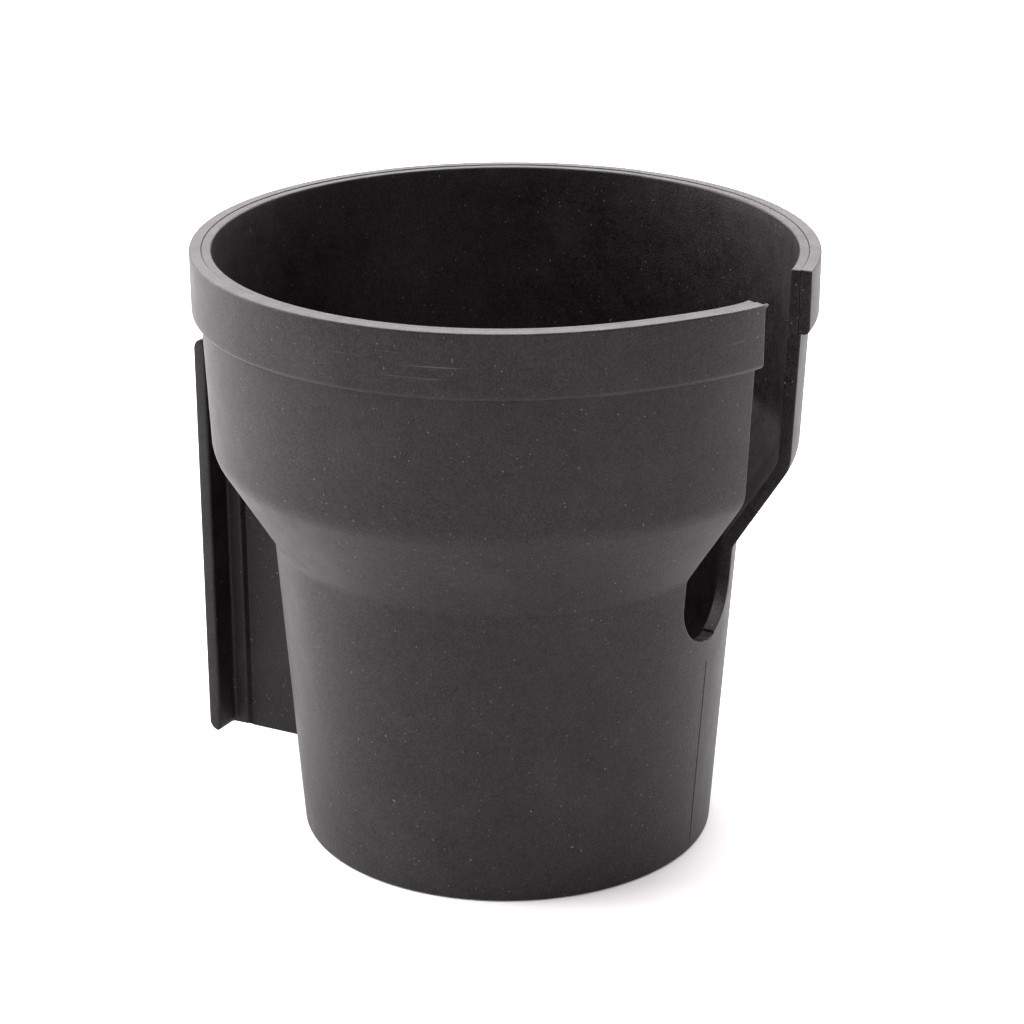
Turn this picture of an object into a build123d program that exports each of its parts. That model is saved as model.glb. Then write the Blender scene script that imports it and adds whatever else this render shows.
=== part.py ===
from build123d import *
import os
from math import atan2, cos, sin, tan

# Slide-in cup holder, in millimetres. +Z is up and the origin is the centre of the cup's base.
# The handle slot faces -Y and the mounting tongue faces +Y. It is symmetric about X = 0.

# Cup shell: radii are those of the outer wall
cup_height = 100.0
base_radius = 34.3
lower_knee_radius = 38.05
lower_knee_height = 51.6
upper_knee_radius = 47.5
upper_knee_height = 66.9
ledge_radius = 48.5
wall_thickness = 2.1
inner_mouth_radius = 46.5
floor_thickness = 2.5
base_edge_fillet = 0.6
floor_fillet = 3.0
lower_knee_fillet = 3.0
upper_knee_fillet = 7.0
mouth_inner_fillet = 0.3

# Collar round the mouth: it sits on a ledge of the wall and stands a little above its top
collar_height = 10.5
collar_step = 0.12
seat_radius = 48.05
collar_top_radius = 50.0
collar_bottom_radius = 49.95
collar_bottom_fillet = 0.35
collar_top_fillet = 0.2

# Handle slot, open through the rim
slot_width = 16.4
slot_bottom = 38.75

# Slide tongue: a T section, as distances from the cup's axis
tongue_bottom = 4.6
tongue_top = 76.9
plate_outer_face = 56.6
plate_thickness = 2.4
plate_width = 14.0
plate_lead_in = 2.0
plate_edge_fillet = 0.4
rib_width = 4.4
rib_depth = 3.1
rib_slope = 0.5
web_thickness = 2.2
web_bottom = 4.0
web_rise = 0.4

# Foot of the tongue, screwed to the narrow part of the cup
foot_width = 16.0
foot_thickness = 2.2
foot_bottom = 6.0
foot_top = 48.0
foot_corner_radius = 3.0
pillar_radius = 3.2
pillar_end = 41.0

# Countersunk thread-forming screws, driven from inside the cup
screw_heights = (16.0, 38.0)
screw_length = 6.5
screw_radius = 1.45
head_radius = 2.75
head_land = 0.2
head_depth_below_wall = 0.3
tip_length = 1.0
tip_radius = 0.7
recess_width = 0.8
recess_span = 3.2
recess_depth = 1.1
thread_relief = 0.3

# Derived places
wall_top = cup_height - collar_step
collar_bottom = cup_height - collar_height
slot_radius = slot_width / 2
slot_centre = slot_bottom + slot_radius
plate_inner_face = plate_outer_face - plate_thickness
rib_face = plate_inner_face - rib_depth
head_height = head_radius - screw_radius + head_land

lower_knee = (lower_knee_radius, lower_knee_height)
upper_knee = (upper_knee_radius, upper_knee_height)


def lean(low, high):
    """Angle from the vertical of the wall between two profile points."""
    return atan2(high[0] - low[0], high[1] - low[1])


lower_lean = lean((base_radius, 0), lower_knee)
cone_lean = lean(lower_knee, upper_knee)
upper_lean = lean(upper_knee, (ledge_radius, collar_bottom))


def narrow_wall(height):
    """Outer radius of the narrow part at a height above the base."""
    return base_radius + height * tan(lower_lean)


def wide_wall(height):
    """Outer radius of the wide part at a height above the base."""
    return upper_knee_radius + (height - upper_knee_height) * tan(upper_lean)


def inner_corner(corner, lean_below, lean_above):
    """Corner of the inner wall that keeps the wall's thickness on both sides of a knee."""
    bisector = (lean_below + lean_above) / 2
    reach = wall_thickness / cos((lean_above - lean_below) / 2)
    return (corner[0] - reach * cos(bisector), corner[1] + reach * sin(bisector))


def narrow_inner_wall(height):
    """Inner radius of the narrow part at a height above the base."""
    return narrow_wall(height) - wall_thickness / cos(lower_lean)


def screw_plane(height, beyond_head_top=0.0):
    """Plane across a screw, facing into the cup, at a distance beyond the top of its head."""
    head_top = narrow_inner_wall(height) + head_depth_below_wall
    return Plane(origin=(0, head_top + beyond_head_top, height), x_dir=(1, 0, 0), z_dir=(0, -1, 0))


# Solid outline of the cup's outside, shared by the shell and by what fits against it
with BuildSketch(Plane.XZ) as cup_outline:
    with BuildLine():
        FilletPolyline(
            (0, 0), (base_radius, 0), lower_knee, upper_knee, (ledge_radius, collar_bottom),
            radius=[base_edge_fillet, lower_knee_fillet, upper_knee_fillet],
        )
        Polyline(
            (ledge_radius, collar_bottom),
            (seat_radius, collar_bottom),
            (seat_radius, wall_top),
            (0, wall_top),
            (0, 0),
        )
    make_face()

# Hollow of the cup, at one wall thickness inside the outline
inner_lower_knee = inner_corner(lower_knee, lower_lean, cone_lean)
inner_upper_knee = inner_corner(upper_knee, cone_lean, upper_lean)
with BuildSketch(Plane.XZ) as hollow_outline:
    with BuildLine():
        FilletPolyline(
            (0, floor_thickness),
            (narrow_inner_wall(floor_thickness), floor_thickness),
            inner_lower_knee,
            inner_upper_knee,
            (inner_mouth_radius, wall_top),
            radius=[
                floor_fillet,
                lower_knee_fillet + wall_thickness,
                upper_knee_fillet - wall_thickness,
            ],
        )
        Polyline((inner_mouth_radius, wall_top), (0, wall_top), (0, floor_thickness))
    make_face()

# Handle slot seen along Y: parallel sides, a round bottom and an open top
with BuildSketch(Plane.XZ) as slot_outline:
    with BuildLine():
        Polyline(
            (-slot_radius, slot_centre),
            (-slot_radius, cup_height + 1),
            (slot_radius, cup_height + 1),
            (slot_radius, slot_centre),
        )
        ThreePointArc((slot_radius, slot_centre), (0, slot_bottom), (-slot_radius, slot_centre))
    make_face()

# Cup body: wide mouth, cone, narrow lower cup and floor, with the slot and the screw seats
with BuildPart() as cup_body:
    revolve(cup_outline.sketch, axis=Axis.Z)
    revolve(hollow_outline.sketch, axis=Axis.Z, mode=Mode.SUBTRACT)
    top_face = cup_body.faces().sort_by(Axis.Z)[-1]
    fillet(top_face.edges().sort_by(SortBy.RADIUS)[0], mouth_inner_fillet)
    extrude(slot_outline.sketch, amount=cup_height, mode=Mode.SUBTRACT)
    for height in screw_heights:
        with Locations(screw_plane(height, head_land)):
            CounterSinkHole(screw_radius, head_radius, depth=screw_length, counter_sink_angle=90)
cup_body.part.label = "cup_body"

# Rim collar: a C-shaped band that sits on the ledge and is cut by the same slot
with BuildPart() as rim_collar:
    with BuildSketch(Plane.XZ):
        with BuildLine():
            FilletPolyline(
                (seat_radius, collar_bottom),
                (collar_bottom_radius, collar_bottom),
                (collar_top_radius, cup_height),
                (seat_radius, cup_height),
                radius=[collar_bottom_fillet, collar_top_fillet],
            )
            Line((seat_radius, cup_height), (seat_radius, collar_bottom))
        make_face()
    revolve(axis=Axis.Z)
    extrude(slot_outline.sketch, amount=cup_height, mode=Mode.SUBTRACT)
rim_collar.part.label = "rim_collar"

# Outside of the foot: the narrow wall, moved out by the foot's thickness
with BuildSketch(Plane.XZ) as foot_envelope:
    with BuildLine():
        Polyline(
            (0, 0),
            (narrow_wall(0) + foot_thickness, 0),
            (narrow_wall(lower_knee_height) + foot_thickness, lower_knee_height),
            (0, lower_knee_height),
            close=True,
        )
    make_face()

# Slide bracket: curved foot, two screw pillars, and the T-section tongue
with BuildPart() as slide_bracket:
    foot_middle = (foot_bottom + foot_top) / 2
    with BuildSketch(Plane.XZ):
        with Locations((0, foot_middle)):
            RectangleRounded(foot_width, foot_top - foot_bottom, foot_corner_radius)
    extrude(amount=-plate_inner_face)
    revolve(foot_envelope.sketch, axis=Axis.Z, mode=Mode.INTERSECT)
    with BuildSketch(Plane.XZ):
        with Locations(*[(0, height) for height in screw_heights]):
            Circle(pillar_radius)
    extrude(amount=-pillar_end)
    with BuildSketch(Plane.XY.offset(tongue_bottom)):
        with Locations((0, plate_inner_face)):
            Rectangle(plate_width, plate_thickness, align=(Align.CENTER, Align.MIN))
        # The rib narrows to the web's thickness over its slope
        with BuildLine():
            Polyline(
                (-rib_width / 2, plate_inner_face),
                (-rib_width / 2, rib_face + rib_slope),
                (-web_thickness / 2, rib_face),
                (web_thickness / 2, rib_face),
                (rib_width / 2, rib_face + rib_slope),
                (rib_width / 2, plate_inner_face),
                close=True,
            )
        make_face()
    extrude(amount=tongue_top - tongue_bottom)
    with BuildSketch(Plane.XY.offset(web_bottom)):
        Rectangle(web_thickness, rib_face, align=(Align.CENTER, Align.MIN))
    extrude(amount=tongue_top - web_bottom)
    # The web's lower edge rises from the rib towards the cup
    with BuildSketch(Plane.YZ):
        with BuildLine():
            Polyline(
                (rib_face, web_bottom),
                (base_radius, web_bottom + web_rise),
                (base_radius, 0),
                (rib_face, 0),
                close=True,
            )
        make_face()
    extrude(amount=web_thickness, both=True, mode=Mode.SUBTRACT)
    # Rounded lead-ins at both ends of the plate, then softened upright edges
    fillet(slide_bracket.edges().filter_by(Axis.X).group_by(Axis.Y)[-1], plate_lead_in)
    upright = slide_bracket.edges().filter_by(Axis.Z).group_by(Axis.X)
    fillet(upright[0] + upright[-1], plate_edge_fillet)
    revolve(cup_outline.sketch, axis=Axis.Z, mode=Mode.SUBTRACT)
    for height in screw_heights:
        with Locations(screw_plane(height)):
            Hole(screw_radius, depth=screw_length + thread_relief)
slide_bracket.part.label = "slide_bracket"

# Bracket screws: countersunk heads with a cross recess, plain shanks and blunt tips
with BuildPart() as bracket_screws:
    for height in screw_heights:
        head_top = screw_plane(height).origin.Y
        tip = head_top + screw_length
        with BuildSketch(Plane.YZ):
            with BuildLine():
                Polyline(
                    (head_top, height),
                    (head_top, height + head_radius),
                    (head_top + head_land, height + head_radius),
                    (head_top + head_height, height + screw_radius),
                    (tip - tip_length, height + screw_radius),
                    (tip, height + tip_radius),
                    (tip, height),
                    close=True,
                )
            make_face()
        revolve(axis=Axis((0, head_top, height), (0, 1, 0)))
        with BuildSketch(screw_plane(height)):
            Rectangle(recess_span, recess_width)
            Rectangle(recess_width, recess_span)
        extrude(amount=-recess_depth, mode=Mode.SUBTRACT)
bracket_screws.part.label = "bracket_screws"

os.makedirs("parts", exist_ok=True)
for piece in (cup_body, rim_collar, slide_bracket, bracket_screws):
    export_step(piece.part, "parts/" + piece.part.label + ".step")
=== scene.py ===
import bmesh
import bpy
from math import asin, atan2, cos, degrees, exp, pi, radians, sin, sqrt, tan
from mathutils import Matrix, Vector
from mathutils.geometry import tessellate_polygon


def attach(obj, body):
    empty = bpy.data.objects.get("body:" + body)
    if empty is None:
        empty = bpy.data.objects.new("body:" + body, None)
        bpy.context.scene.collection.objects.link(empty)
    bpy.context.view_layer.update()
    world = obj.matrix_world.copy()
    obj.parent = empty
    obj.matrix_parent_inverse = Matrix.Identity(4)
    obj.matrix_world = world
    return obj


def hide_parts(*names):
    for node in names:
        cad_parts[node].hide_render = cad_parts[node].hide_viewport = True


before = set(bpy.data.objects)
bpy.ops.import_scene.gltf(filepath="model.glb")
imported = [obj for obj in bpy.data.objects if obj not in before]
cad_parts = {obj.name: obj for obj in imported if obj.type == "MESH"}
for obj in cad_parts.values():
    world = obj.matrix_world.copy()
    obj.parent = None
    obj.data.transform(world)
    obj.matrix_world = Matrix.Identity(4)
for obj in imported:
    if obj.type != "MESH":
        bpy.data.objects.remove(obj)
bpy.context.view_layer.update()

# Sizes in millimetres, the same as the CAD part's. Meshes become metres when they are made.
MM = 0.001
HEIGHT = 100.0
BASE_RADIUS = 34.3
LOWER_KNEE = (38.05, 51.6)
UPPER_KNEE = (47.5, 66.9)
LEDGE = (48.5, 89.5)
LOWER_KNEE_FILLET = 3.0
UPPER_KNEE_FILLET = 7.0
BASE_EDGE_FILLET = 0.6
FLOOR_FILLET = 3.0
MOUTH_FILLET = 0.3
WALL = 2.1
FLOOR = 2.5
MOUTH_RADIUS = 46.5
SEAT_RADIUS = 48.05
BODY_TOP = 99.88
COLLAR_BOTTOM = LEDGE[1]
COLLAR_TOP_RADIUS = 50.0
COLLAR_BOTTOM_RADIUS = 49.95
SLOT_HALF = 8.2
SLOT_CENTRE = 38.75 + SLOT_HALF
PLATE_OUTER = 56.6
PLATE_INNER = 54.2
PLATE_HALF = 7.0
RIB_HALF = 2.2
RIB_FACE = 51.1
RIB_SLOPE = 0.5
WEB_HALF = 1.1
TONGUE_BOTTOM = 4.6
TONGUE_TOP = 76.9
WEB_BOTTOM = 4.0
WEB_RISE = 0.4
FOOT_HALF = 8.0
FOOT_THICKNESS = 2.2
FOOT_BOTTOM = 6.0
FOOT_TOP = 48.0
FOOT_CORNER = 3.0
PILLAR_RADIUS = 3.2
PILLAR_END = 41.0
SCREW_HEIGHTS = (16.0, 38.0)

# Detail that only the looks have, in millimetres and degrees
CUT_ROUND = 0.22
UNDERSIDE_RECESS = 0.5
PARTING_NICK_HEIGHT = 20.5
MISMATCH = 0.35
MISMATCH_START = 15.3
NEAR_DROOP = 1.75
NEAR_DROOP_ANGLE = 21.3
NEAR_FLARE = 1.5
FAR_DROOP = 0.6
FAR_DROOP_ANGLE = 60
FAR_SPREAD = 0.4
WARP_START = 55.0
BAND_ROUND = 1.0
NIB_HALF_LENGTH = 1.15
NIB_RADIUS = 0.32
PLATE_LEAD_IN = 1.7
PLATE_INNER_LEAD_IN = 1.3
PLATE_INNER_EASE = 0.55
TONGUE_END_ROUND = 0.3
FOOT_EDGE_ROUND = 0.4
BURIED = 0.6
SCREW_HEAD_CLEARANCE = 2.8
SCREW_SHANK_CLEARANCE = 1.5

# Mesh density
CUT_STEPS = 4
PATCH = 4.0
COLUMNS_ROUND = 132
TURNED_COLUMNS = 48
SHARP_ANGLE = radians(38)


# ---------------------------------------------------------------- profiles

def filleted(points, radii, steps=7):
    """Profile through (radius, height) points, with each corner between its ends rounded."""
    line = [Vector(points[0])]
    for before, corner, after, radius in zip(points, points[1:], points[2:], radii):
        corner = Vector(corner)
        back = (Vector(before) - corner).normalized()
        ahead = (Vector(after) - corner).normalized()
        if radius == 0:
            line.append(corner)
            continue
        half_angle = back.angle(ahead) / 2
        centre = corner + (back + ahead).normalized() * (radius / sin(half_angle))
        first = corner + back * (radius / tan(half_angle)) - centre
        last = corner + ahead * (radius / tan(half_angle)) - centre
        for step in range(steps + 1):
            spoke = first.lerp(last, step / steps)
            line.append(centre + spoke.normalized() * radius)
    line.append(Vector(points[-1]))
    return line


def subdivided(line, longest):
    """The same profile with no stretch longer than a given length."""
    fine = [line[0]]
    for low, high in zip(line, line[1:]):
        parts = max(1, round((high - low).length / longest))
        for part in range(1, parts + 1):
            fine.append(low.lerp(high, part / parts))
    return fine


def outward(line, closed=False):
    """Unit normal at each profile point, on the right of its direction of travel."""
    normals = []
    for index in range(len(line)):
        before = line[index - 1] if index or closed else line[0]
        after = line[(index + 1) % len(line)] if index + 1 < len(line) or closed else line[-1]
        along = after - before
        normals.append(Vector((along.y, -along.x)).normalized())
    return normals


def lean(low, high):
    """Angle from the vertical of the wall between two profile points."""
    return atan2(high[0] - low[0], high[1] - low[1])


def moved_in(corner, lean_below, lean_above):
    """Inner corner that keeps the wall's thickness on both sides of a knee."""
    bisector = (lean_below + lean_above) / 2
    reach = WALL / cos((lean_above - lean_below) / 2)
    return (corner[0] - reach * cos(bisector), corner[1] + reach * sin(bisector))


LOW_LEAN = lean((BASE_RADIUS, 0), LOWER_KNEE)
CONE_LEAN = lean(LOWER_KNEE, UPPER_KNEE)
TOP_LEAN = lean(UPPER_KNEE, LEDGE)


def narrow_wall(height):
    """Outer radius of the narrow part at a height above the base."""
    return BASE_RADIUS + height * tan(LOW_LEAN)


def narrow_inner_wall(height):
    """Inner radius of the narrow part at a height above the base."""
    return narrow_wall(height) - WALL / cos(LOW_LEAN)


# ---------------------------------------------------------------- walls with the handle slot

def warped(point):
    """The rim's ends as moulded: the -X end droops and the +X end sags and stands a little wide."""
    x, y, z = point
    tall = min(1.0, max(0.0, (z - WARP_START) / (HEIGHT - WARP_START)))
    if tall == 0 or y >= 0:
        return Vector(point)
    turn = degrees(atan2(x, -y))
    if x > 0:
        spread = FAR_SPREAD * cos(radians(turn)) ** 4
        droop = FAR_DROOP * exp(-((turn / FAR_DROOP_ANGLE) ** 2)) * tall
        return Vector((x + spread * tall, y, z - droop))
    droop = NEAR_DROOP * exp(-((turn / NEAR_DROOP_ANGLE) ** 2)) * tall
    radius = sqrt(x**2 + y**2)
    inner = min(1.0, max(0.0, (COLLAR_TOP_RADIUS - radius) / (COLLAR_TOP_RADIUS - MOUTH_RADIUS)))
    beyond = max(0.0, -x - SLOT_HALF)
    flare = NEAR_FLARE * inner * exp(-(HEIGHT - z) / 6) * exp(-beyond / 2.5)
    return Vector((x + flare, y, z - droop))


def patch_lines():
    """Distances from the slot's outline at which its edge patch has lines."""
    lines = [CUT_ROUND * (1 - cos(pi / 2 * step / CUT_STEPS)) for step in range(CUT_STEPS + 1)]
    return lines + [0.5, 1.0, 1.8, 2.8, PATCH]


def cut_depth(distance):
    """How far the rounded edge of the cut lies below the surface."""
    if distance >= CUT_ROUND:
        return 0.0
    return CUT_ROUND - sqrt(CUT_ROUND**2 - (CUT_ROUND - distance) ** 2)


def beside_slot(x, row, distance):
    """Point of a profile row at a given x in front of the axis, eased into the cut."""
    (radius, height), normal = row
    depth = cut_depth(distance)
    y = -sqrt(radius**2 - x**2)
    return Vector((x, y + depth * normal.x, height - depth * normal.y))


def arc_round(radius, height, start):
    """Points the long way round, from the slot's right side to its left side."""
    points = []
    for column in range(1, COLUMNS_ROUND):
        turn = start + (2 * pi - 2 * start) * (column / COLUMNS_ROUND)
        points.append(Vector((radius * sin(turn), -radius * cos(turn), height)))
    return points


class Grid:
    """Vertices and faces of one mesh, with rows of points joined by quads."""

    def __init__(self):
        self.verts = []
        self.faces = []

    def add(self, points):
        first = len(self.verts)
        self.verts.extend(points)
        return list(range(first, len(self.verts)))

    def join(self, low, high, closed=False):
        count = len(low) if closed else len(low) - 1
        for index in range(count):
            after = (index + 1) % len(low)
            quad = [low[index], low[after], high[after], high[index]]
            quad = [v for place, v in enumerate(quad) if v not in quad[:place]]
            if len(quad) > 2:
                self.faces.append(quad)

    def cap(self, ring):
        """Close a ring, or the end of a wall, with triangles."""
        for triangle in tessellate_polygon([[self.verts[v] for v in ring]]):
            self.faces.append([ring[corner] for corner in triangle])

    def loft(self, rings):
        """Skin over closed rings, with both ends capped."""
        for low, high in zip(rings, rings[1:]):
            self.join(low, high, closed=True)
        self.cap(rings[0])
        self.cap(rings[-1])

    def weld(self, name, shape=Vector):
        """Mesh object with coincident points merged and its normals facing out."""
        work = bmesh.new()
        made = [work.verts.new(shape(v) * MM) for v in self.verts]
        for face in self.faces:
            work.faces.new([made[v] for v in face])
        bmesh.ops.remove_doubles(work, verts=work.verts, dist=1e-7)
        bmesh.ops.dissolve_degenerate(work, dist=1e-8, edges=work.edges)
        bmesh.ops.recalc_face_normals(work, faces=work.faces)
        mesh = bpy.data.meshes.new(name)
        work.to_mesh(mesh)
        work.free()
        mesh.shade_smooth()
        mesh.set_sharp_from_angle(angle=SHARP_ANGLE)
        obj = bpy.data.objects.new(name, mesh)
        bpy.context.scene.collection.objects.link(obj)
        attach(obj, "root")
        return obj


def slotted_rows(grid, rows):
    """A wall's rows that the slot cuts right through: returns the vertex rows."""
    distances = patch_lines()
    vertex_rows = []
    for row in rows:
        radius, height = row[0]
        start = asin((SLOT_HALF + PATCH) / radius)
        right = [beside_slot(SLOT_HALF + d, row, d) for d in distances]
        middle = arc_round(radius, height, start)
        left = [beside_slot(-SLOT_HALF - d, row, d) for d in reversed(distances)]
        vertex_rows.append(grid.add(right + middle + left))
    for low, high in zip(vertex_rows, vertex_rows[1:]):
        grid.join(low, high)
    return vertex_rows


def cut_angles():
    """Angles round the slot's bottom, from its right side to its left, finer at the middle."""
    fine = [radians(a) for a in (2.6, 1.3, 0.6)]
    wide = [radians(a) for a in (90, 82, 74, 66, 58, 50, 42, 34, 26, 19, 16, 15, 13, 8, 4.5)]
    return wide + fine + [0.0] + [-a for a in reversed(fine)] + [-a for a in reversed(wide)]


def parting_relief(x, height):
    """Height of the mould's parting line over the surface: a hairline groove with raised lips."""
    groove = -0.1 * exp(-((x / 0.11) ** 2)) + 0.035 * exp(-(((abs(x) - 0.3) / 0.15) ** 2))
    nick = -0.3 * exp(-((x / 0.35) ** 2) - ((height - PARTING_NICK_HEIGHT) / 0.5) ** 2)
    return groove + nick


def lower_wall(grid, rows, outside):
    """The wall below the slot's centre, down to the middle of the base or of the floor.

    Its rows are level up to an even height, and above it they bend to follow the slot's bottom.
    """
    reach = SLOT_HALF + PATCH
    even = 7.0
    even_radius = max(radius for (radius, height), _ in rows if height <= even)
    vertex_rows = []
    for (radius, height), _ in rows:
        reference = radius if height > even else even_radius
        start = asin(reach / reference)
        points = []
        for angle in cut_angles():
            lowered, here, turn_radius = height, radius, reference
            if height > even:
                top = SLOT_CENTRE - reach * cos(angle)
                lowered = even + (height - even) / (SLOT_CENTRE - even) * (top - even)
                here = radius - (height - lowered) * tan(LOW_LEAN)
                turn_radius = here
            turn = asin(reach * sin(angle) / turn_radius)
            if outside and height > BASE_EDGE_FILLET + 0.1:
                here += parting_relief(here * sin(turn), lowered)
            points.append(Vector((here * sin(turn), -here * cos(turn), lowered)))
        vertex_rows.append(grid.add(points[::-1] + arc_round(radius, height, start)))
    for low, high in zip(vertex_rows, vertex_rows[1:]):
        grid.join(low, high, closed=True)
    return vertex_rows


def mismatch(angle, distance):
    """Extra depth of the slot's bottom, whose far half stands proud of its ragged near half."""
    turn = degrees(angle)
    ragged = 0.05 * sin(turn * 1.9) + 0.04 * sin(turn * 4.3 + 1)
    if turn > MISMATCH_START:
        depth = -MISMATCH * max(0.0, cos(radians((turn - MISMATCH_START) * 1.5)))
    else:
        depth = (0.12 + ragged) * exp(-(((turn - MISMATCH_START) / 28) ** 2))
    return depth * (1 - distance / PATCH)


def slot_bottom(grid, row):
    """Half rings round the slot's bottom on one face of the wall: returns the innermost one."""
    (radius, height), normal = row
    rings = []
    for distance in patch_lines():
        ring = []
        for angle in cut_angles():
            reach = SLOT_HALF + distance + mismatch(angle, distance)
            level = SLOT_CENTRE - reach * cos(angle)
            here = radius - (SLOT_CENTRE - level) * tan(LOW_LEAN)
            ring.append(beside_slot(reach * sin(angle), ((here, level), normal), distance))
        rings.append(grid.add(ring))
    for inner, outer in zip(rings, rings[1:]):
        grid.join(inner, outer)
    return rings[0]


def with_normals(line, closed=False, side=1):
    """Rows for a wall: each profile point with its normal, turned round where side is -1."""
    return [(tuple(point), normal * side) for point, normal in zip(line, outward(line, closed))]


def turned(grid, profile, height):
    """Closed shape turned about a line along Y at a height, from (radius, y) points."""
    turns = [2 * pi * n / TURNED_COLUMNS for n in range(TURNED_COLUMNS)]
    rings = []
    for radius, y in profile:
        ring = [Vector((radius * cos(t), y, height + radius * sin(t))) for t in turns]
        rings.append(grid.add(ring))
    for low, high in zip(rings, rings[1:]):
        grid.join(low, high, closed=True)
    grid.faces += [rings[0], rings[-1]]
    return grid


# ---------------------------------------------------------------- cup body

def bore_screw_well(shell, height):
    """Countersink in the wall for one screw, a little clear of its head and shank."""
    inner = narrow_inner_wall(height)
    centre = 0.01
    inside_cup, cone_top, cone_end = inner - 4, inner + 0.52, inner + 1.8
    profile = [
        (centre, inside_cup),
        (SCREW_HEAD_CLEARANCE, inside_cup),
        (SCREW_HEAD_CLEARANCE, cone_top),
        (SCREW_SHANK_CLEARANCE, cone_end),
        (centre, cone_end),
    ]
    cutter = turned(Grid(), profile, height).weld("screw_well")
    bore = shell.modifiers.new("bore", "BOOLEAN")
    bore.operation = "DIFFERENCE"
    bore.object = cutter
    bore.solver = "EXACT"
    bpy.context.view_layer.objects.active = shell
    bpy.ops.object.modifier_apply(modifier=bore.name)
    bpy.data.objects.remove(cutter)


def make_body():
    """The cup: its walls above and below the slot's centre, its base, floor and screw wells."""
    grid = Grid()
    inner_low = moved_in(LOWER_KNEE, LOW_LEAN, CONE_LEAN)
    inner_high = moved_in(UPPER_KNEE, CONE_LEAN, TOP_LEAN)
    centre_outer = (narrow_wall(SLOT_CENTRE), SLOT_CENTRE)
    centre_inner = (narrow_inner_wall(SLOT_CENTRE), SLOT_CENTRE)

    # Up the outside, over the ledge and the top, and down the inside
    above = filleted(
        [centre_outer, LOWER_KNEE, UPPER_KNEE, LEDGE, (SEAT_RADIUS, COLLAR_BOTTOM),
         (SEAT_RADIUS, BODY_TOP), (MOUTH_RADIUS, BODY_TOP), inner_high, inner_low, centre_inner],
        [LOWER_KNEE_FILLET, UPPER_KNEE_FILLET, 0, 0, 0.12, MOUTH_FILLET,
         UPPER_KNEE_FILLET - WALL, LOWER_KNEE_FILLET + WALL],
    )
    rows = slotted_rows(grid, with_normals(subdivided(above, 2.5)))
    for edge in (0, -1):
        grid.cap([row[edge] for row in rows])

    # The underside has a gate mark in its middle and stands on a ring
    outside = filleted(
        [(0.5, 0.9), (2.1, 0.9), (2.3, UNDERSIDE_RECESS), (30.2, UNDERSIDE_RECESS), (30.6, 0),
         (BASE_RADIUS, 0), centre_outer],
        [0.15, 0.15, 0.2, 0.2, BASE_EDGE_FILLET],
    )
    inside = filleted([(0.5, FLOOR), (narrow_inner_wall(FLOOR), FLOOR), centre_inner], [FLOOR_FILLET])
    arcs = []
    for line, side in ((outside, 1), (inside, -1)):
        profile = with_normals(subdivided(line, 2.5), side=side)
        rings = lower_wall(grid, profile, side > 0)
        grid.cap(rings[0])
        arcs.append(slot_bottom(grid, profile[-1]))
    grid.join(arcs[0], arcs[1])
    shell = grid.weld("cup_body_shell", warped)
    for height in SCREW_HEIGHTS:
        bore_screw_well(shell, height)
    shell.data.set_sharp_from_angle(angle=SHARP_ANGLE)
    return shell


# ---------------------------------------------------------------- rim collar

def make_collar():
    """The band round the mouth, cut by the slot, with a nib of flash at one end."""
    grid = Grid()
    seat = SEAT_RADIUS + 0.02
    loop = filleted(
        [(seat, 95.0), (seat, COLLAR_BOTTOM), (COLLAR_BOTTOM_RADIUS, COLLAR_BOTTOM),
         (COLLAR_TOP_RADIUS, HEIGHT), (seat, HEIGHT), (seat, 95.0)],
        [0.1, BAND_ROUND, 0.25, 0.15],
    )[:-1]
    profile = with_normals(subdivided(loop + [loop[0]], 2.0)[:-1], closed=True)
    rows = slotted_rows(grid, profile)
    grid.join(rows[-1], rows[0])
    for edge in (0, -1):
        grid.cap([row[edge] for row in rows])

    # Nib of flash at the top corner of the end that droops
    centre = Vector((-SLOT_HALF + 0.25, -48.93, HEIGHT - 0.34))
    rings = []
    for step in range(1, 10):
        along = pi * step / 10
        across = NIB_RADIUS * sin(along)
        turns = [2 * pi * n / 16 for n in range(16)]
        spokes = [Vector((-NIB_HALF_LENGTH * cos(along), across * cos(t), across * sin(t))) for t in turns]
        rings.append(grid.add([centre + spoke for spoke in spokes]))
    grid.loft(rings)
    return grid.weld("rim_collar_band", warped)


# ---------------------------------------------------------------- slide bracket

def outer_wall(height):
    """Outer radius of the cup at a height below the collar."""
    for low, high in (((BASE_RADIUS, 0), LOWER_KNEE), (LOWER_KNEE, UPPER_KNEE), (UPPER_KNEE, LEDGE)):
        if height <= high[1]:
            return low[0] + (high[0] - low[0]) * (height - low[1]) / (high[1] - low[1])
    return LEDGE[0]


def tongue_section(from_end, wall):
    """Half of the T section, from the plate's middle to the cup, at a distance from its end."""
    missing = max(0.0, PLATE_LEAD_IN - from_end)
    outer = PLATE_OUTER - PLATE_LEAD_IN + sqrt(PLATE_LEAD_IN**2 - missing**2)
    eased = max(0.0, 1 - from_end / PLATE_INNER_LEAD_IN)
    inner = PLATE_INNER + PLATE_INNER_EASE * (1 - sqrt(1 - eased**2))
    soft = min(0.5, 0.4 * (outer - inner))
    return filleted(
        [(0, outer), (PLATE_HALF, outer), (PLATE_HALF, inner), (RIB_HALF, inner),
         (RIB_HALF, RIB_FACE + RIB_SLOPE), (WEB_HALF, RIB_FACE), (WEB_HALF, wall), (0, wall)],
        [soft, soft, 0.5, 0.5, 0.45, 0],
        steps=4,
    )


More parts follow.
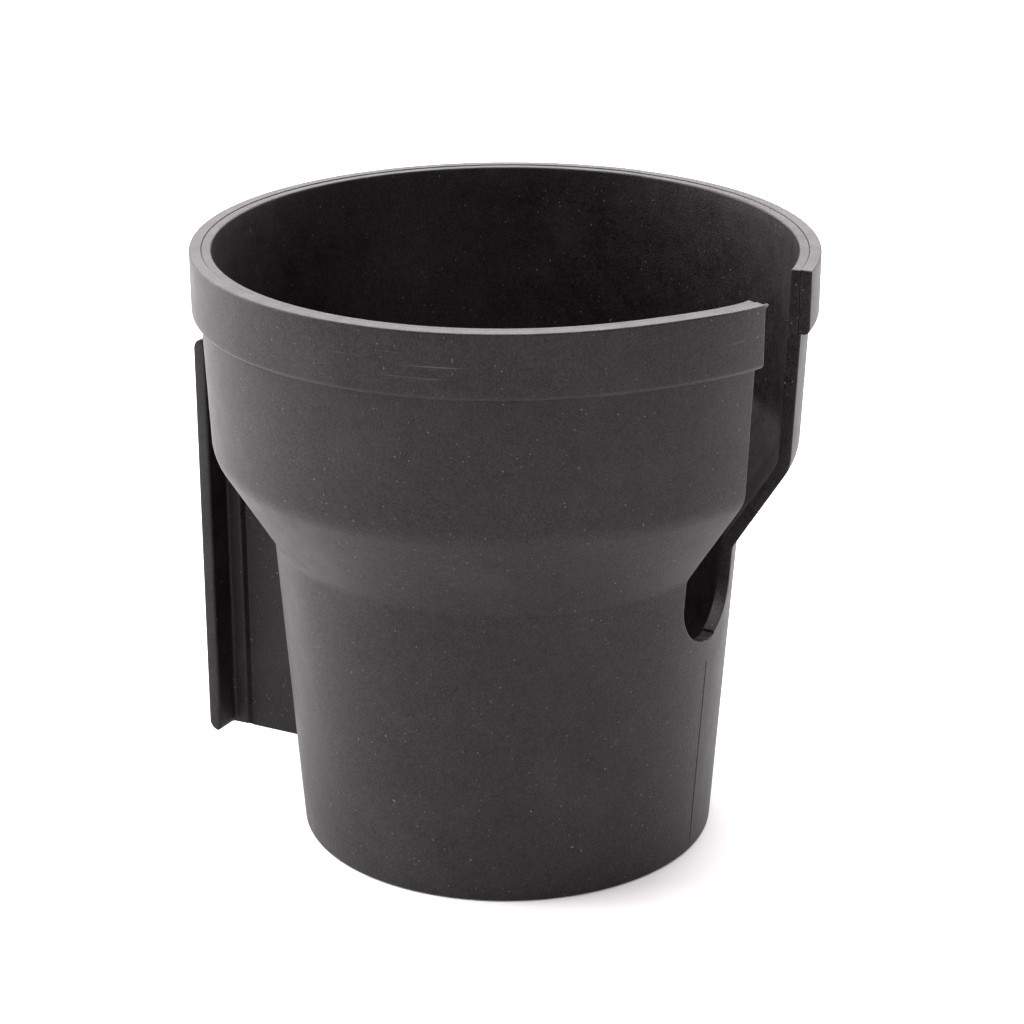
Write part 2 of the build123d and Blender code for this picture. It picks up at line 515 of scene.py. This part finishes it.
def tongue_levels(length):
    """Levels along the tongue as (distance from its lower end, inset), close at its rounded ends."""
    turns = [pi / 8 * step for step in range(5)]
    end = [(TONGUE_END_ROUND * (1 - cos(t)), TONGUE_END_ROUND * (1 - sin(t))) for t in turns]
    end += [(distance, 0.0) for distance in (0.45, 0.65, 0.9, 1.2, 1.6, 2.0)]
    middle = [(distance, 0.0) for distance in range(5, 68, 3)]
    return end + middle + [(length - distance, inset) for distance, inset in reversed(end)]


def add_tongue(grid):
    """Plate, rib and web in one skin, with the web's lower edge rising towards the cup."""
    length = TONGUE_TOP - TONGUE_BOTTOM
    rings = []
    for along, inset in tongue_levels(length):
        height = TONGUE_BOTTOM + along
        from_end = min(along, length - along)
        half = tongue_section(from_end, outer_wall(height) - BURIED)
        loop = half + [Vector((-point.x, point.y)) for point in reversed(half[1:-1])]
        ring = []
        for point, normal in zip(loop, outward(loop, closed=True)):
            thin_edge = point.y > PLATE_INNER - 0.1
            moved = point + normal * (min(inset, 0.05 + from_end) if thin_edge else inset)
            towards_cup = min(1.0, max(0.0, (RIB_FACE + RIB_SLOPE - moved.y) / RIB_SLOPE))
            rise = WEB_RISE * max(0.0, RIB_FACE - moved.y) / (RIB_FACE - BASE_RADIUS)
            drop = towards_cup * (TONGUE_BOTTOM - WEB_BOTTOM - rise) * (1 - along / length)
            ring.append(Vector((moved.x, moved.y, height - drop)))
        rings.append(grid.add(ring))
    grid.loft(rings)


def foot_outline(inset, tall):
    """Rounded rectangle of the foot, drawn in by an inset, with points down its long sides."""
    wide, high = FOOT_HALF - inset, tall - inset
    corner = max(0.3, FOOT_CORNER - inset)
    corners = [(-wide, 0), (-wide, -high), (wide, -high), (wide, high), (-wide, high), (-wide, 0)]
    outline = filleted(corners, [corner] * 4, steps=6)[:-1]
    sides = []
    for here, there in zip(outline, outline[1:] + outline[:1]):
        parts = 12 if abs(there.y - here.y) > 12 else 1
        sides += [here.lerp(there, n / parts) for n in range(parts)]
    return sides


def add_foot(grid):
    """Curved pad with softened edges on the narrow part of the wall."""
    middle_height = (FOOT_BOTTOM + FOOT_TOP) / 2
    tall = (FOOT_TOP - FOOT_BOTTOM) / 2
    shoulder = FOOT_THICKNESS - FOOT_EDGE_ROUND
    steps = [(0, -BURIED), (0, 0.6), (0, shoulder)]
    for turn in (pi / 6, pi / 3, pi / 2):
        steps.append((FOOT_EDGE_ROUND * (1 - cos(turn)), shoulder + FOOT_EDGE_ROUND * sin(turn)))
    steps += [(inset, FOOT_THICKNESS) for inset in (1.2, 2.4, 4.5, 7.0)]
    rings = []
    for inset, above in steps:
        ring = []
        for x, z in foot_outline(inset, tall):
            radius = narrow_wall(middle_height + z) + above
            ring.append(Vector((x, sqrt(radius**2 - x**2), middle_height + z)))
        rings.append(grid.add(ring))
    grid.loft(rings)


def add_pillar(grid, height):
    """Pillar that a screw bites into."""
    start = narrow_wall(height) - BURIED
    profile = [(0.4, start), (PILLAR_RADIUS, start), (PILLAR_RADIUS, PILLAR_END), (0.4, PILLAR_END)]
    turned(grid, filleted(profile, [0, 0.5], steps=4), height)


def make_bracket():
    """The slide tongue with its foot and its two screw pillars."""
    grid = Grid()
    add_tongue(grid)
    add_foot(grid)
    for height in SCREW_HEIGHTS:
        add_pillar(grid, height)
    return grid.weld("slide_bracket_shape")


body = make_body()
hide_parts("cup_body")
collar = make_collar()
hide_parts("rim_collar")
bracket = make_bracket()
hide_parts("slide_bracket")


# ---------------------------------------------------------------- materials

class Surface:
    """Node material on one Principled shader, built up in layers of procedural noise."""

    def __init__(self, name, roughness):
        self.material = bpy.data.materials.new(name)
        self.material.use_nodes = True
        self.nodes = self.material.node_tree.nodes
        self.links = self.material.node_tree.links
        self.shader = self.nodes["Principled BSDF"]
        self.shader.inputs["Roughness"].default_value = roughness
        self.place = self.nodes.new("ShaderNodeTexCoord").outputs["Object"]

    def stretched(self, turn, stretch):
        """Texture coordinates turned and then scaled along each axis."""
        mapping = self.nodes.new("ShaderNodeMapping")
        mapping.inputs["Rotation"].default_value = turn
        mapping.inputs["Scale"].default_value = stretch
        self.links.new(self.place, mapping.inputs["Vector"])
        return mapping.outputs["Vector"]

    def noise(self, scale, detail=0.0, place=None):
        """Noise from 0 to 1 at the object's own coordinates, or at others."""
        texture = self.nodes.new("ShaderNodeTexNoise")
        texture.inputs["Scale"].default_value = scale
        texture.inputs["Detail"].default_value = detail
        self.links.new(place or self.place, texture.inputs["Vector"])
        return texture.outputs["Fac"]

    def between(self, value, low, high):
        """Value from 0 to 1 as an input goes from low to high."""
        reach = self.nodes.new("ShaderNodeMapRange")
        reach.inputs["From Min"].default_value = low
        reach.inputs["From Max"].default_value = high
        self.links.new(value, reach.inputs["Value"])
        return reach.outputs["Result"]

    def maths(self, operation, first, second):
        node = self.nodes.new("ShaderNodeMath")
        node.operation = operation
        for socket, value in zip(node.inputs, (first, second)):
            if isinstance(value, (int, float)):
                socket.default_value = value
            else:
                self.links.new(value, socket)
        return node.outputs[0]

    def mixed(self, share, first, second):
        """Colour between two others, each a constant or another node's output."""
        node = self.nodes.new("ShaderNodeMix")
        node.data_type = "RGBA"
        self.links.new(share, node.inputs[0])
        for socket, value in ((node.inputs[6], first), (node.inputs[7], second)):
            if isinstance(value, tuple):
                socket.default_value = (*value, 1)
            else:
                self.links.new(value, socket)
        return node.outputs[2]

    def coloured(self, colour):
        self.links.new(colour, self.shader.inputs["Base Color"])

    def bumped(self, height, strength, distance):
        bump = self.nodes.new("ShaderNodeBump")
        bump.inputs["Strength"].default_value = strength
        bump.inputs["Distance"].default_value = distance
        self.links.new(height, bump.inputs["Height"])
        self.links.new(bump.outputs["Normal"], self.shader.inputs["Normal"])


# Noise scales of the plastic, in cycles per metre of the object
GRAIN_SCALE = 3600
SPECK_SCALE = 2300
PATCH_SCALE = 900
CLOUD_SCALE = 240
FILM_SCALE = 75
SCRATCH_BREAK_SCALE = 70

# Colour of the plastic at its darkest and lightest, and of the dust and scuffs on it
PLASTIC_DARK = (0.0008, 0.0005, 0.0007)
PLASTIC_LIGHT = (0.0180, 0.0146, 0.0160)
DUST = (0.095, 0.090, 0.093)
SCUFF = (0.050, 0.047, 0.049)


def plastic(name, roughness, tone, scratches=()):
    """Fine-grained warm black plastic with cloudy handling marks, dust and level scratches.

    Each entry of scratches is a pair of small tilts, in radians, for one family of them.
    """
    surface = Surface(name, roughness)
    surface.shader.inputs["IOR"].default_value = 1.32
    grain = surface.noise(GRAIN_SCALE, 1.0)
    cloud = surface.noise(CLOUD_SCALE, 3.0)
    patches = surface.noise(PATCH_SCALE, 1.0)
    mottle = surface.maths("MULTIPLY", grain, 0.62)
    for layer, share in ((cloud, 0.2), (patches, 0.18)):
        mottle = surface.maths("ADD", mottle, surface.maths("MULTIPLY", layer, share))
    dark = tuple(channel * tone for channel in PLASTIC_DARK)
    light = tuple(channel * tone for channel in PLASTIC_LIGHT)
    colour = surface.mixed(surface.between(mottle, 0.38, 0.62), dark, light)
    film = surface.between(surface.noise(FILM_SCALE, 4.0), 0.5, 0.74)
    colour = surface.mixed(surface.maths("MULTIPLY", film, 0.07), colour, DUST)
    specks = surface.between(surface.noise(SPECK_SCALE), 0.825, 0.85)
    colour = surface.mixed(specks, colour, DUST)
    for tilt_x, tilt_y in scratches:
        lines = surface.noise(9, 0.0, surface.stretched((tilt_x, tilt_y, 0), (5, 5, 260)))
        breaks = surface.between(surface.noise(SCRATCH_BREAK_SCALE, 1.0), 0.56, 0.66)
        marks = surface.maths("MULTIPLY", surface.between(lines, 0.77, 0.80), breaks)
        colour = surface.mixed(marks, colour, SCUFF)
    surface.coloured(colour)
    sheen = surface.maths("ADD", surface.maths("MULTIPLY", cloud, 0.16), roughness - 0.08)
    surface.links.new(sheen, surface.shader.inputs["Roughness"])
    surface.bumped(grain, 0.8, 0.00005)
    return surface.material


def steel(name):
    """Zinc-plated steel with fine turning marks and a slightly uneven sheen."""
    surface = Surface(name, 0.34)
    surface.shader.inputs["Metallic"].default_value = 1.0
    rings = surface.noise(1400, 2.0, surface.stretched((0, 0, 0), (1, 3, 1)))
    stain = surface.noise(500, 2.0)
    colour = surface.mixed(surface.between(stain, 0.35, 0.7), (0.42, 0.42, 0.41), (0.60, 0.60, 0.58))
    surface.coloured(colour)
    surface.bumped(rings, 0.35, 0.00004)
    return surface.material


def cover(piece, material):
    """Give a piece one material in place of any that it has."""
    piece.data.materials.clear()
    piece.data.materials.append(material)


looks = {
    "cup_body": plastic("cup_body_plastic", roughness=0.5, tone=1.0),
    "rim_collar": plastic("rim_collar_plastic", 0.48, 1.05, [(0.12, 0.05), (-0.2, 0.1)]),
    "slide_bracket": plastic("slide_bracket_plastic", roughness=0.55, tone=0.85),
    "bracket_screws": steel("screw_zinc"),
}
for name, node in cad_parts.items():
    cover(node, looks[name])
for name, piece in (("cup_body", body), ("rim_collar", collar), ("slide_bracket", bracket)):
    cover(piece, looks[name])


# ---------------------------------------------------------------- stage, light and camera

# Metres, and watts for the lights
LIGHT_TINT = (1.0, 0.955, 0.978)
LIGHT_TARGET = Vector((0, 0, 0.06))
FLOOR_HALF = 6
CAMERA_DISTANCE = 0.45539
CAMERA_HEIGHT = 0.22813
CAMERA_HEADING = radians(29.5)
CAMERA_YAW = radians(0.12)
CAMERA_PITCH = radians(20.96)
CAMERA_ROLL = radians(0.23)
CAMERA_LENS = 104.33


def area_light(name, position, width, depth, power):
    """Rectangular light aimed at the object, out of the camera's sight."""
    data = bpy.data.lights.new(name, "AREA")
    data.shape = "RECTANGLE"
    data.size = width
    data.size_y = depth
    data.energy = power
    data.color = LIGHT_TINT
    light = bpy.data.objects.new(name, data)
    bpy.context.scene.collection.objects.link(light)
    light.location = position
    light.rotation_euler = (LIGHT_TARGET - position).to_track_quat("-Z", "Y").to_euler()
    light.visible_camera = False


floor_mesh = bpy.data.meshes.new("floor")
corners = [(-1, -1), (1, -1), (1, 1), (-1, 1)]
floor_mesh.from_pydata([(FLOOR_HALF * x, FLOOR_HALF * y, 0) for x, y in corners], [], [(0, 1, 2, 3)])
floor = bpy.data.objects.new("floor", floor_mesh)
bpy.context.scene.collection.objects.link(floor)
paper = bpy.data.materials.new("paper")
paper.use_nodes = True
paper_shader = paper.node_tree.nodes["Principled BSDF"]
paper_shader.inputs["Base Color"].default_value = (0.84, 0.84, 0.84, 1)
paper_shader.inputs["Roughness"].default_value = 0.95
paper_shader.inputs["Specular IOR Level"].default_value = 0.1
paper_shader.inputs["Emission Color"].default_value = (1, 1, 1, 1)
paper_shader.inputs["Emission Strength"].default_value = 0.08
floor_mesh.materials.append(paper)

world = bpy.data.worlds.new("studio")
bpy.context.scene.world = world
world.use_nodes = True
background = world.node_tree.nodes["Background"]
background.inputs["Color"].default_value = (*LIGHT_TINT, 1)
background.inputs["Strength"].default_value = 0.45

# Lights are placed from the camera's heading: ahead is where it looks, left is its left
ahead = Vector((cos(CAMERA_HEADING), sin(CAMERA_HEADING), 0))
left = Vector((-sin(CAMERA_HEADING), cos(CAMERA_HEADING), 0))
up = Vector((0, 0, 1))
area_light("back", ahead * 1.6 + up * 1.0, 2.6, 1.0, 60)
area_light("left_back", ahead * 0.6 + left * 1.5 + up * 0.7, 1.6, 1.2, 57)
area_light("right_back", ahead * 1.0 - left * 1.5 + up * 0.5, 0.9, 0.9, 14)
area_light("left_high", left * 0.85 - ahead * 0.15 + up * 1.15, 0.5, 0.5, 9)
area_light("overhead", up * 1.8 - ahead * 0.1, 1.6, 1.6, 30)

camera_data = bpy.data.cameras.new("camera")
camera_data.sensor_width = 36
camera_data.lens = CAMERA_LENS
camera = bpy.data.objects.new("camera", camera_data)
bpy.context.scene.collection.objects.link(camera)
camera.matrix_world = (
    Matrix.Translation(up * CAMERA_HEIGHT - ahead * CAMERA_DISTANCE)
    @ Matrix.Rotation(CAMERA_HEADING - CAMERA_YAW - pi / 2, 4, "Z")
    @ Matrix.Rotation(pi / 2 - CAMERA_PITCH, 4, "X")
    @ Matrix.Rotation(-CAMERA_ROLL, 4, "Z")
)
bpy.context.scene.camera = camera
bpy.context.scene.view_settings.view_transform = "Standard"
